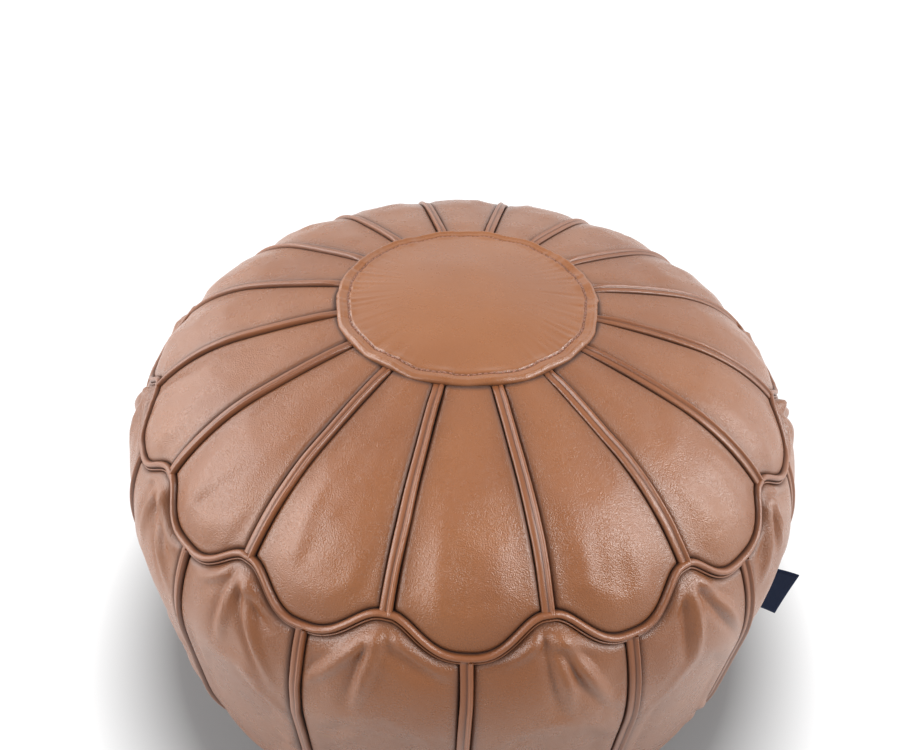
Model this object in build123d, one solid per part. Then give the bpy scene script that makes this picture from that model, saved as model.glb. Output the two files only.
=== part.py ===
from build123d import *
from math import cos, radians, sin, sqrt, tan
import os

# Moroccan leather pouf. Sixteen scalloped leather petals are sewn round a top medallion, and sixteen
# side panels hang below them, half a petal out of step. Folded leather welts lie over the seams, and a
# corded piping follows the scallops. The base is two leather panels with a zip between them, set up in
# a shallow recess so that its slider is clear of the floor. A cotton liner inside holds crumb foam.
# Millimetres, +Z up, origin at the centre of the base on the floor.

# ---- driving dimensions -------------------------------------------------------------------------
PETALS = 16
STEP = 360 / PETALS                # degrees from one petal to the next
SKIN_RADIUS = 247.2                # the leather's outer face at the widest
SKIN_TOP = 337.4                   # the leather's outer face under the medallion
DOME_RADIUS = 690                  # gentle crown of the seat
SHOULDER_RADIUS = 120              # from the crown down into the side
LOWER_RADIUS = 182                 # from the side in to the base
BASE_RADIUS = 187.5                # where the side meets the floor
LEATHER = 1.6                      # thickness of the coated leather
SEAM_GAP = 0.15                    # half the gap between two neighbouring panels
FACE_GAP = 0.3                     # clearance between layers that lie on each other

MEDALLION_RADIUS = 91
MEDALLION_HEM = 9.5                # width of the turned and topstitched edge
MEDALLION_THICK = 1.6
HEM_THICK = 2.3                    # two layers, pressed
THREAD_RADIUS = 0.35

WELT_WIDTH = 9
WELT_THICK = 2.5
PIPING_RADIUS = 3.2
CORD_RADIUS = 1.9                  # the filler cord inside the piping
PIPING_CLEARANCE = 0.35            # panels and welts stop this far from the piping
VALLEY = (217, 284.8)                # radius and height of the piping between two petals
LOBE = (230.4, 267.2)               # radius and height of the piping at a petal's lowest point

LINER_THICK = 0.8
LINER_FLOOR = 12.6                 # height of the liner's underside, above the zip
LINER_INSET = 4.5                  # from the leather's outer face to the liner's

# ---- zip dimensions -----------------------------------------------------------------------------
RECESS_HALF_WIDTH = 20
RECESS_HALF_LENGTH = 172
RECESS_DEPTH = 9.0                 # height of the facing's upper side above the floor
SLOT_HALF_WIDTH = 6.5              # bare zip seen between the facings
SLOT_HALF_LENGTH = 151
TAPE_THICK = 0.6
TAPE_INNER = 1.7
TAPE_OUTER = 15
TAPE_HALF_LENGTH = 160
TOOTH_PITCH = 2.8
TOOTH_WIDTH = 1.1
TEETH = 102                        # on each side
TOOTH_REACH = 1.1                  # past the zip's centre line
COIL_INNER = 1.9
COIL_OUTER = 3.1
COIL_HEIGHT = 2.2
SLIDER_X = 139.5                   # the closed slider's centre
SLIDER_HALF_LENGTH = 6.5
SLIDER_HALF_WIDTH = 5
SLIDER_PLATE = 1.2
PIN_HEIGHT = 3.5                   # the pull's pivot above the floor
PIN_RADIUS = 0.8
EYE_CLEARANCE = 0.08
EYE_RADIUS = 1.55
LUG_INNER = 2.0
LUG_OUTER = 3.1
PULL_LENGTH = 25
PULL_HALF_WIDTH = 3.5
PULL_THICK = 1.3

LABEL_AZIMUTH = -STEP              # the seam that holds the label, from +X
LABEL_HEIGHT = 48
LABEL_REACH = 20                   # how far it stands out of the seam
LABEL_THICK = 1.0
LABEL_BOTTOM = 112

FAR = 600                          # larger than the object, for cutting tools

# ---- the skin's section -------------------------------------------------------------------------
DOME_CENTRE = SKIN_TOP - DOME_RADIUS
SHOULDER_X = SKIN_RADIUS - SHOULDER_RADIUS
SHOULDER_Z = DOME_CENTRE + sqrt((DOME_RADIUS - SHOULDER_RADIUS) ** 2 - SHOULDER_X ** 2)
LOWER_X = SKIN_RADIUS - LOWER_RADIUS
LOWER_Z = sqrt(LOWER_RADIUS ** 2 - (BASE_RADIUS - LOWER_X) ** 2)


def turned(shape, angle):
    return Rot(0, 0, angle) * shape


def solid_of_revolution(inset, floor):
    """The whole pouf as one lump, its faces moved in from the leather's outer face, flat at a floor."""
    dome = DOME_RADIUS - inset
    shoulder = SHOULDER_RADIUS - inset
    lower = LOWER_RADIUS - inset
    share = dome / (DOME_RADIUS - SHOULDER_RADIUS)
    meet = (share * SHOULDER_X, DOME_CENTRE + share * (SHOULDER_Z - DOME_CENTRE))
    top = (0, DOME_CENTRE + dome)
    side = SKIN_RADIUS - inset
    rim = (LOWER_X + sqrt(lower ** 2 - (LOWER_Z - floor) ** 2), floor)

    def on_arc(centre, radius, start, end):
        """A point half way along an arc, to draw it through."""
        middle = Vector((start[0] + end[0]) / 2 - centre[0], (start[1] + end[1]) / 2 - centre[1])
        point = middle.normalized() * radius
        return (centre[0] + point.X, centre[1] + point.Y)

    edges = [
        ThreePointArc(top, on_arc((0, DOME_CENTRE), dome, top, meet), meet),
        ThreePointArc(
            meet,
            on_arc((SHOULDER_X, SHOULDER_Z), shoulder, meet, (side, SHOULDER_Z)),
            (side, SHOULDER_Z),
        ),
        Line((side, SHOULDER_Z), (side, LOWER_Z)),
        ThreePointArc((side, LOWER_Z), on_arc((LOWER_X, LOWER_Z), lower, (side, LOWER_Z), rim), rim),
        Line(rim, (0, floor)),
        Line((0, floor), top),
    ]
    section = Plane.XZ * make_face(Wire(edges))
    return revolve(section, Axis.Z, 360)


def shell(outset, thickness, floor):
    """A layer whose outer face stands outset beyond the leather's outer face."""
    return solid_of_revolution(-outset, floor) - solid_of_revolution(thickness - outset, floor - 5)


def wedge(half_angle, gap=0.0):
    """A sector of all space about +X, each side moved in by a gap."""
    apex = gap / sin(radians(half_angle))
    reach = FAR - apex
    outline = Polyline(
        (apex, 0),
        (FAR, -reach * tan(radians(half_angle))),
        (FAR, reach * tan(radians(half_angle))),
        (apex, 0),
    )
    return extrude(make_face(outline), FAR)


def slab(half_width):
    """All space within half_width of the half plane through +X."""
    return Pos(0, -half_width, -FAR / 2) * Box(FAR, 2 * half_width, 2 * FAR, align=Align.MIN)


def highest(shape):
    return max(shape.solids(), key=lambda s: s.center().Z)


def lowest(shape):
    return min(shape.solids(), key=lambda s: s.center().Z)


def ring_of(shape, first=0.0):
    """One solid for each petal, turned round the axis."""
    return [turned(shape, first + k * STEP) for k in range(PETALS)]


# ---- scalloped piping ---------------------------------------------------------------------------
def piping_points():
    """Corners of the piping's route, four to each petal: a short run at each lobe and at each valley."""
    lobe_turn = 0.19 * STEP
    valley_turn = 0.40 * STEP
    points = []
    for k in range(PETALS):
        for turn, (radius, height) in (
            (-valley_turn, VALLEY),
            (-lobe_turn, LOBE),
            (lobe_turn, LOBE),
            (valley_turn, VALLEY),
        ):
            angle = radians(k * STEP + turn)
            points.append(Vector(radius * cos(angle), radius * sin(angle), height))
    return points


def piping_bends(points):
    """For each corner, the largest arc that leaves its two runs a short straight."""
    radii = []
    for i, corner in enumerate(points):
        before = corner - points[i - 1]
        after = points[(i + 1) % len(points)] - corner
        half_turn = radians(before.get_angle(after)) / 2
        radii.append(0.45 * min(before.length, after.length) / tan(half_turn))
    return radii


def piping_route():
    points = piping_points()
    return FilletPolyline(*points, radius=piping_bends(points), close=True)


def tube(radius):
    route = piping_route()
    start = Plane(origin=route @ 0, z_dir=route % 0)
    return sweep(start * Circle(radius), path=route)


def piping_parts():
    cover = tube(PIPING_RADIUS) - tube(CORD_RADIUS + 0.05)
    return {"scallop_piping": cover, "piping_cord": tube(CORD_RADIUS)}


# ---- leather casing -----------------------------------------------------------------------------
def casing_parts(groove):
    """Petals, side panels and their welts, cut apart by the groove that the piping lies in."""
    leather = shell(0, LEATHER, LEATHER + FACE_GAP)
    sector = leather & wedge(STEP / 2, SEAM_GAP)
    cut = sector - groove
    medallion_seat = Pos(0, 0, SKIN_TOP) * Cylinder(MEDALLION_RADIUS - MEDALLION_HEM, 60)
    petal = highest(cut) - medallion_seat

    half_turned = turned(groove, STEP / 2)
    side_panel = lowest(sector - half_turned)

    layer = shell(WELT_THICK + FACE_GAP, WELT_THICK, LEATHER + FACE_GAP)
    strip = layer & slab(WELT_WIDTH / 2)
    inner_end = Pos(0, 0, SKIN_TOP) * Cylinder(MEDALLION_RADIUS + FACE_GAP, 60)
    petal_welt = highest((strip - half_turned)) - inner_end
    side_welt = lowest(strip - groove)

    parts = {}
    for k, piece in enumerate(ring_of(petal)):
        parts[f"petal_{k + 1:02d}"] = piece
    for k, piece in enumerate(ring_of(side_panel, STEP / 2)):
        parts[f"side_panel_{k + 1:02d}"] = piece
    parts["petal_welts"] = Compound(children=ring_of(petal_welt, STEP / 2))
    parts["side_welts"] = Compound(children=ring_of(side_welt))
    return parts


def medallion():
    """A leather disc over the petals' inner ends, with its edge turned under and topstitched."""
    disc = shell(FACE_GAP + HEM_THICK, MEDALLION_THICK, SKIN_TOP - 40)
    hem = shell(FACE_GAP + HEM_THICK, HEM_THICK, SKIN_TOP - 40)
    hem -= Pos(0, 0, SKIN_TOP) * Cylinder(MEDALLION_RADIUS - MEDALLION_HEM, 60)
    return (disc + hem) & (Pos(0, 0, SKIN_TOP) * Cylinder(MEDALLION_RADIUS, 60))


def medallion_stitching():
    """The ring of topstitching thread that lies on the medallion's hem."""
    ring_radius = MEDALLION_RADIUS - MEDALLION_HEM + 1.5
    from_dome_centre = DOME_RADIUS + FACE_GAP + HEM_THICK + THREAD_RADIUS
    height = DOME_CENTRE + sqrt(from_dome_centre ** 2 - ring_radius ** 2)
    return Pos(0, 0, height) * Torus(ring_radius, THREAD_RADIUS)


def side_label():
    """A folded woven label, caught in a side seam and standing straight out of it."""
    plate = Pos(SKIN_RADIUS + WELT_THICK + FACE_GAP, 0, LABEL_BOTTOM) * Box(
        LABEL_REACH, LABEL_THICK, LABEL_HEIGHT, align=(Align.MIN, Align.CENTER, Align.MIN)
    )
    end = plate.edges().filter_by(Axis.Z).group_by(Axis.X)[-1]
    return turned(fillet(end, 0.45 * LABEL_THICK), LABEL_AZIMUTH)


def filling_parts():
    outer = solid_of_revolution(LINER_INSET, LINER_FLOOR)
    inner = solid_of_revolution(LINER_INSET + LINER_THICK, LINER_FLOOR + LINER_THICK)
    core = solid_of_revolution(
        LINER_INSET + LINER_THICK + FACE_GAP, LINER_FLOOR + LINER_THICK + FACE_GAP
    )
    return {"liner_bag": outer - inner, "crumb_filling": core}


# ---- base and zip -------------------------------------------------------------------------------
def base_panel(side):
    """Half of the base, on one side of the zip, notched for the recess."""
    disc = Cylinder(BASE_RADIUS - FACE_GAP, LEATHER, align=(Align.CENTER, Align.CENTER, Align.MIN))
    half = disc & Pos(0, side * (FAR / 2 + SEAM_GAP), 0) * Box(FAR, FAR, FAR)
    return half - Box(2 * RECESS_HALF_LENGTH, 2 * RECESS_HALF_WIDTH, 20)


def zip_facing(side):
    """A leather strip that walls one long side of the recess and turns in over the zip's tape."""
    length = 2 * (RECESS_HALF_LENGTH - FACE_GAP)
    wall_face = RECESS_HALF_WIDTH - FACE_GAP
    wall = Pos(0, side * (wall_face - LEATHER / 2), FACE_GAP) * Box(
        length, LEATHER, RECESS_DEPTH - FACE_GAP, align=(Align.CENTER, Align.CENTER, Align.MIN)
    )
    width = wall_face - SLOT_HALF_WIDTH
    flange = Pos(0, side * (SLOT_HALF_WIDTH + width / 2), RECESS_DEPTH - LEATHER) * Box(
        length, width, LEATHER, align=(Align.CENTER, Align.CENTER, Align.MIN)
    )
    return wall + flange


def zip_end_facings():
    """A tab at each end of the recess, which closes its end wall and covers the tape's end."""
    half_width = RECESS_HALF_WIDTH - LEATHER - 2 * FACE_GAP
    wall_x = RECESS_HALF_LENGTH - FACE_GAP - LEATHER
    wall = Pos(wall_x, -half_width, FACE_GAP) * Box(
        LEATHER, 2 * half_width, RECESS_DEPTH - LEATHER - 2 * FACE_GAP, align=Align.MIN
    )
    tab_half = SLOT_HALF_WIDTH - FACE_GAP
    tab_z = RECESS_DEPTH - LEATHER - 2 * FACE_GAP
    tab = Pos(SLOT_HALF_LENGTH, -tab_half, tab_z) * Box(
        wall_x + LEATHER - SLOT_HALF_LENGTH, 2 * tab_half, LEATHER + 2 * FACE_GAP, align=Align.MIN
    )
    end = wall + tab
    return Compound(children=[end, turned(end, 180)])


def zip_tape(side):
    width = TAPE_OUTER - TAPE_INNER
    return Pos(0, side * (TAPE_INNER + width / 2), RECESS_DEPTH + FACE_GAP) * Box(
        2 * TAPE_HALF_LENGTH, width, TAPE_THICK, align=(Align.CENTER, Align.CENTER, Align.MIN)
    )


def zip_coil(side):
    """One side of the coil as a comb, whose teeth lie between the other side's."""
    shift = side * TOOTH_PITCH / 4
    first = -TOOTH_PITCH * (TEETH - 1) / 2 + shift
    half = TOOTH_WIDTH / 2
    outline = [(first - TOOTH_PITCH / 2, COIL_OUTER), (first - TOOTH_PITCH / 2, COIL_INNER)]
    for k in range(TEETH):
        x = first + k * TOOTH_PITCH
        outline += [(x - half, COIL_INNER), (x - half * 0.8, -TOOTH_REACH)]
        outline += [(x + half * 0.8, -TOOTH_REACH), (x + half, COIL_INNER)]
    last = first + (TEETH - 0.5) * TOOTH_PITCH
    outline += [(last, COIL_INNER), (last, COIL_OUTER)]
    outline = [(x, side * y) for x, y in outline]
    comb = make_face(Polyline(*outline, outline[0]))
    return Pos(0, 0, RECESS_DEPTH + FACE_GAP - COIL_HEIGHT - 0.1) * extrude(comb, COIL_HEIGHT, dir=(0, 0, 1))


def zip_stops():
    """Two clips past the closed slider, one on each tape, and one bar across both coils at the far end."""
    top = RECESS_DEPTH + FACE_GAP - 0.1
    upper = []
    for side in (-1, 1):
        clip = Pos(SLIDER_X + SLIDER_HALF_LENGTH + 2.6, side * 2.9, top) * Box(
            2.2, 2.0, 1.4, align=(Align.CENTER, Align.CENTER, Align.MAX)
        )
        upper.append(fillet(clip.edges().filter_by(Axis.Z), 0.4))
    bar = Pos(-(TEETH + 1) / 2 * TOOTH_PITCH - 2.0, 0, top) * Box(
        3.0, 6.6, 2.4, align=(Align.CENTER, Align.CENTER, Align.MAX)
    )
    bar = fillet(bar.edges().filter_by(Axis.Z), 0.6)
    return {"zip_top_stops": Compound(children=upper), "zip_bottom_stop": bar}


def zip_slider():
    """A lower and an upper plate round the coils, joined at the leading end, with lugs and a pin below."""
    lower_z = RECESS_DEPTH + FACE_GAP - 0.1 - COIL_HEIGHT - 0.4 - SLIDER_PLATE
    upper_z = RECESS_DEPTH + FACE_GAP + TAPE_THICK + 0.3

    def plate(z, half_width):
        block = Pos(SLIDER_X, 0, z) * Box(
            2 * SLIDER_HALF_LENGTH, 2 * half_width, SLIDER_PLATE,
            align=(Align.CENTER, Align.CENTER, Align.MIN),
        )
        return fillet(block.edges().filter_by(Axis.Z), 2.2)

    body = plate(lower_z, SLIDER_HALF_WIDTH) + plate(upper_z, SLIDER_HALF_WIDTH - 0.4)
    for side in (-1, 1):
        body += Pos(SLIDER_X, side * (SLIDER_HALF_WIDTH - 0.5), lower_z + SLIDER_PLATE) * Box(
            2 * SLIDER_HALF_LENGTH - 5, 1.0, COIL_HEIGHT, align=(Align.CENTER, Align.CENTER, Align.MIN)
        )
    nose = SLIDER_X + SLIDER_HALF_LENGTH
    body += Pos(nose, 0, lower_z) * Box(
        2.6, 2.4, upper_z + SLIDER_PLATE - lower_z, align=(Align.MAX, Align.CENTER, Align.MIN)
    )
    for side in (-1, 1):
        lug_y = side * (LUG_INNER + LUG_OUTER) / 2
        lug = Pos(SLIDER_X, lug_y, PIN_HEIGHT) * Rot(90, 0, 0) * Cylinder(1.7, LUG_OUTER - LUG_INNER)
        lug += Pos(SLIDER_X, lug_y, PIN_HEIGHT) * Box(
            3.4, LUG_OUTER - LUG_INNER, lower_z - PIN_HEIGHT + 0.1,
            align=(Align.CENTER, Align.CENTER, Align.MIN),
        )
        body += lug
    pin = Pos(SLIDER_X, 0, PIN_HEIGHT) * Rot(90, 0, 0) * Cylinder(PIN_RADIUS, 2 * LUG_OUTER - 0.4)
    return body + pin


def zip_pull():
    """A flat metal tab with an eye round the slider's pin, lying back along the closed zip."""
    neck_half = LUG_INNER - 0.25
    eye = Rot(90, 0, 0) * Cylinder(EYE_RADIUS, 2 * neck_half)
    neck = Pos(-2.2, 0, 0) * Box(4.4, 2 * neck_half, PULL_THICK)
    tab = Pos(-2.6, 0, 0) * Box(
        PULL_LENGTH - 2.6, 2 * PULL_HALF_WIDTH, PULL_THICK, align=(Align.MAX, Align.CENTER, Align.CENTER)
    )
    tab = fillet(tab.edges().filter_by(Axis.Z), 1.4)
    bore = Rot(90, 0, 0) * Cylinder(PIN_RADIUS + EYE_CLEARANCE, 20)
    return Pos(SLIDER_X, 0, PIN_HEIGHT) * (eye + neck + tab - bore)


def zip_parts():
    parts = {}
    for name, side in (("front", -1), ("back", 1)):
        parts[f"base_panel_{name}"] = base_panel(side)
        parts[f"zip_facing_{name}"] = zip_facing(side)
        parts[f"zip_tape_{name}"] = zip_tape(side)
        parts[f"zip_coil_{name}"] = zip_coil(side)
    parts["zip_end_facings"] = zip_end_facings()
    parts.update(zip_stops())
    parts["zip_slider"] = zip_slider()
    parts["zip_pull"] = zip_pull()
    return parts


# ---- everything ---------------------------------------------------------------------------------
def main():
    parts = piping_parts()
    parts.update(casing_parts(tube(PIPING_RADIUS + PIPING_CLEARANCE)))
    parts["medallion"] = medallion()
    parts["medallion_stitching"] = medallion_stitching()
    parts["side_label"] = side_label()
    parts.update(filling_parts())
    parts.update(zip_parts())
    os.makedirs("parts", exist_ok=True)
    for name, shape in parts.items():
        export_step(shape, f"parts/{name}.step")
    print(len(parts), "nodes; smallest piping bend", round(min(piping_bends(piping_points())), 1))


if __name__ == "__main__":
    main()
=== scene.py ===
"""Moroccan leather pouf: puffed panels, folded welts, corded piping and a topstitched medallion."""
import math

import bpy
import numpy as np
from mathutils import Matrix, Vector


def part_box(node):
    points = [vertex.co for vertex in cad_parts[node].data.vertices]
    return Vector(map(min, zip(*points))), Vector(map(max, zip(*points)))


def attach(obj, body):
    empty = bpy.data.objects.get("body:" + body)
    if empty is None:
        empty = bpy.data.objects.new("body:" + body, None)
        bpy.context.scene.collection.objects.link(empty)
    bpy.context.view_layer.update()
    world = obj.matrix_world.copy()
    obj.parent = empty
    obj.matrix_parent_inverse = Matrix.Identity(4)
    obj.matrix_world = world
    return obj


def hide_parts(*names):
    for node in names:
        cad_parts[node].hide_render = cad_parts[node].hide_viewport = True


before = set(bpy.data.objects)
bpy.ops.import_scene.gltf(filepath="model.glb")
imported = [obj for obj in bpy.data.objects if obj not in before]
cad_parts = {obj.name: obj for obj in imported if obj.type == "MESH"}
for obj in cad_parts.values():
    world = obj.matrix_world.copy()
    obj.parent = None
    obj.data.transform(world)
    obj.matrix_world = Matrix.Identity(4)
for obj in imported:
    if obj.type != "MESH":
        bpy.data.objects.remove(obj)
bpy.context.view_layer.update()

# ---- sizes, in metres, as the CAD has them --------------------------------------------------------
PETALS = 16
STEP = 2 * math.pi / PETALS
SKIN_RADIUS = 0.2472
SKIN_TOP = 0.3374
DOME_RADIUS = 0.690
SHOULDER_RADIUS = 0.120
LOWER_RADIUS = 0.182
BASE_RADIUS = 0.1875
MEDALLION_RADIUS = 0.091
STITCH_RADIUS = 0.0825
VALLEY_HEIGHT = 0.2848              # the piping between two petals
LOBE_HEIGHT = 0.2672                # the piping at a petal's lowest point
LABEL_AZIMUTH = -STEP

# ---- sizes of what is sewn ------------------------------------------------------------------------
LEATHER = 0.0014
WELT_HALF = 0.0036
PIPING_HALF = 0.0029
GAP = 0.0007                        # between a panel's rolled edge and the welt or piping beside it
SEAM_DEPTH = -0.0030                # a panel's sewn edge, from the skin
EDGE_ROLL = 0.0026                  # how far in from its seam a panel's edge is rolled
EDGE_RISE = 0.0032                  # and how high
TUCK_WIDTH = 0.0018                 # what of a panel lies under the welt beside it
TUCK_DEPTH = SEAM_DEPTH - 0.0030
HEM_GAP = 0.0008                    # a panel's hem stops this far short of the piping's middle
WELT_STEP = 0.0035                  # between a welt's rings
INNER_RADIUS = 0.084                # the petals' inner ends, under the medallion
SEED = 7

scene = bpy.context.scene
rng = np.random.default_rng(SEED)


# ---- the skin's section ---------------------------------------------------------------------------
DOME_CENTRE = SKIN_TOP - DOME_RADIUS
SHOULDER_X = SKIN_RADIUS - SHOULDER_RADIUS
SHOULDER_Z = DOME_CENTRE + math.sqrt((DOME_RADIUS - SHOULDER_RADIUS) ** 2 - SHOULDER_X ** 2)
LOWER_X = SKIN_RADIUS - LOWER_RADIUS
LOWER_Z = math.sqrt(LOWER_RADIUS ** 2 - (BASE_RADIUS - LOWER_X) ** 2)
DOME_TILT = math.atan2(SHOULDER_X, SHOULDER_Z - DOME_CENTRE)
DOME_LENGTH = DOME_RADIUS * DOME_TILT
SHOULDER_LENGTH = SHOULDER_RADIUS * (math.pi / 2 - DOME_TILT)
SIDE_LENGTH = SHOULDER_Z - LOWER_Z
LOWER_LENGTH = LOWER_RADIUS * math.acos((BASE_RADIUS - LOWER_X) / LOWER_RADIUS)
SHOULDER_START = DOME_LENGTH
SIDE_START = DOME_LENGTH + SHOULDER_LENGTH
LOWER_START = SIDE_START + SIDE_LENGTH
SKIN_LENGTH = LOWER_START + LOWER_LENGTH


def section(s):
    """Radius, height and the normal's tilt from +Z, at arc length s down the skin from the top."""
    s = np.asarray(s, float)
    on_dome = s < SHOULDER_START
    on_shoulder = s < SIDE_START
    on_side = s < LOWER_START
    tilt = np.select(
        [on_dome, on_shoulder, on_side],
        [s / DOME_RADIUS, DOME_TILT + (s - SHOULDER_START) / SHOULDER_RADIUS, math.pi / 2],
        math.pi / 2 + (s - LOWER_START) / LOWER_RADIUS,
    )
    bend = np.select([on_dome, on_shoulder, on_side], [DOME_RADIUS, SHOULDER_RADIUS, 0.0], LOWER_RADIUS)
    centre_r = np.select([on_dome, on_shoulder, on_side], [0.0, SHOULDER_X, SKIN_RADIUS], LOWER_X)
    centre_z = np.select(
        [on_dome, on_shoulder, on_side],
        [DOME_CENTRE, SHOULDER_Z, SHOULDER_Z - (s - SIDE_START)],
        LOWER_Z,
    )
    return centre_r + bend * np.sin(tilt), centre_z + bend * np.cos(tilt), tilt


_table_s = np.linspace(0, SKIN_LENGTH, 4000)
_table_r, _table_z, _ = section(_table_s)


def s_at_height(z):
    return float(np.interp(-z, -_table_z, _table_s))


def s_at_radius(r):
    """For the top, down to the shoulder."""
    top = _table_s < SIDE_START
    return float(np.interp(r, _table_r[top], _table_s[top]))


def place(theta, s, outset):
    """Points at an angle round the axis, an arc length down the skin and a height off it."""
    r, z, tilt = section(s)
    r = r + outset * np.sin(tilt)
    z = z + outset * np.cos(tilt)
    return np.stack(np.broadcast_arrays(r * np.cos(theta), r * np.sin(theta), z), axis=-1)


def smooth(x):
    x = np.clip(x, 0, 1)
    return x * x * (3 - 2 * x)


def wander(x, y, seed):
    """Smooth noise from -1 to 1 over a plane, about one hump to each unit."""
    x, y = np.broadcast_arrays(np.asarray(x, float), np.asarray(y, float))
    lattice = np.random.default_rng(seed).uniform(-1, 1, (64, 64))
    ix = np.floor(x).astype(int)
    iy = np.floor(y).astype(int)
    fx = smooth(x - ix)
    fy = smooth(y - iy)
    low = lattice[ix % 64, iy % 64] * (1 - fx) + lattice[(ix + 1) % 64, iy % 64] * fx
    high = lattice[ix % 64, (iy + 1) % 64] * (1 - fx) + lattice[(ix + 1) % 64, (iy + 1) % 64] * fx
    return low * (1 - fy) + high * fy


# ---- the piping's route ---------------------------------------------------------------------------
S_VALLEY = s_at_height(VALLEY_HEIGHT - 0.0010)
S_LOBE = s_at_height(LOBE_HEIGHT - 0.0005)
lobe_drop = rng.uniform(-0.0022, 0.0022, PETALS)
valley_drop = rng.uniform(-0.0015, 0.0015, PETALS)
lobe_skew = rng.uniform(-0.035, 0.035, PETALS)


def scallop(theta):
    """Arc length of the piping at an angle: broad lobes and narrow valleys, each a little uneven."""
    kink = 0.0011 * wander(np.asarray(theta, float) * 11, 0.5, 61)
    turns = np.asarray(theta, float) / STEP
    petal = np.round(turns).astype(int)
    across = turns - petal
    across = across + lobe_skew[petal % PETALS] * np.sin(2 * np.pi * across)
    fullness = 0.5 + 0.5 * np.cos(np.pi * np.minimum(2 * np.abs(across) / 0.95, 1) ** 1.5)
    valley = np.floor(turns).astype(int)
    lowest = S_LOBE + lobe_drop[petal % PETALS]
    highest = S_VALLEY + valley_drop[valley % PETALS]
    return highest + (lowest - highest) * fullness + kink


def piping_slant(theta):
    """How much longer a step down the skin is than a step square to the piping."""
    small = 0.002
    rise = scallop(theta + small) - scallop(theta - small)
    return np.sqrt(1 + (rise / (2 * small * SKIN_RADIUS * 0.93)) ** 2)


def above_piping(theta):
    """The lower edge of the petals, beside the piping."""
    return scallop(theta) - (PIPING_HALF + GAP) * piping_slant(theta)


def below_piping(theta):
    """The upper edge of the side panels, beside the piping."""
    return scallop(theta) + (PIPING_HALF + GAP) * piping_slant(theta)


# ---- mesh helpers ---------------------------------------------------------------------------------
def piece(name, points, faces, material, groove=None, body="root"):
    """A smooth-shaded object from points and faces, which rides on a body."""
    mesh = bpy.data.meshes.new(name)
    mesh.from_pydata(np.asarray(points).reshape(-1, 3).tolist(), [], [tuple(f) for f in faces])
    mesh.polygons.foreach_set("use_smooth", [True] * len(mesh.polygons))
    if groove is not None:
        layer = mesh.attributes.new("groove", "FLOAT", "POINT")
        layer.data.foreach_set("value", np.asarray(groove, np.float32).ravel())
    mesh.materials.append(material)
    obj = bpy.data.objects.new(name, mesh)
    scene.collection.objects.link(obj)
    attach(obj, body)
    return obj


def grid_faces(rows, columns, closed_rows=False, closed_columns=False, start=0):
    """Quads over a grid of points, which may close on itself either way."""
    faces = []
    for i in range(rows if closed_rows else rows - 1):
        for j in range(columns if closed_columns else columns - 1):
            a = i * columns + j
            b = i * columns + (j + 1) % columns
            c = (i + 1) % rows * columns + (j + 1) % columns
            d = (i + 1) % rows * columns + j
            faces.append((start + a, start + b, start + c, start + d))
    return faces


def swept(rings, closed):
    """Points and faces of a tube through rings of points, capped unless it closes on itself."""
    count, around = rings.shape[:2]
    faces = grid_faces(count, around, closed_rows=closed, closed_columns=True)
    if not closed:
        faces.append(tuple(range(around)))
        faces.append(tuple((count - 1) * around + j for j in reversed(range(around))))
    return rings.reshape(-1, 3), faces


def frames_along(path, closed):
    """Unit tangents of a path of points."""
    if closed:
        ahead = np.roll(path, -1, axis=0) - np.roll(path, 1, axis=0)
    else:
        ahead = np.gradient(path, axis=0)
    return ahead / np.linalg.norm(ahead, axis=1, keepdims=True)


def skin_normal(theta, s):
    tilt = section(s)[2]
    return np.stack(
        np.broadcast_arrays(np.sin(tilt) * np.cos(theta), np.sin(tilt) * np.sin(theta), np.cos(tilt)), axis=-1
    )


# ---- materials ------------------------------------------------------------------------------------
def new_material(name):
    material = bpy.data.materials.new(name)
    material.use_nodes = True
    tree = material.node_tree
    return material, tree.nodes, tree.links, tree.nodes["Principled BSDF"]


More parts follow.
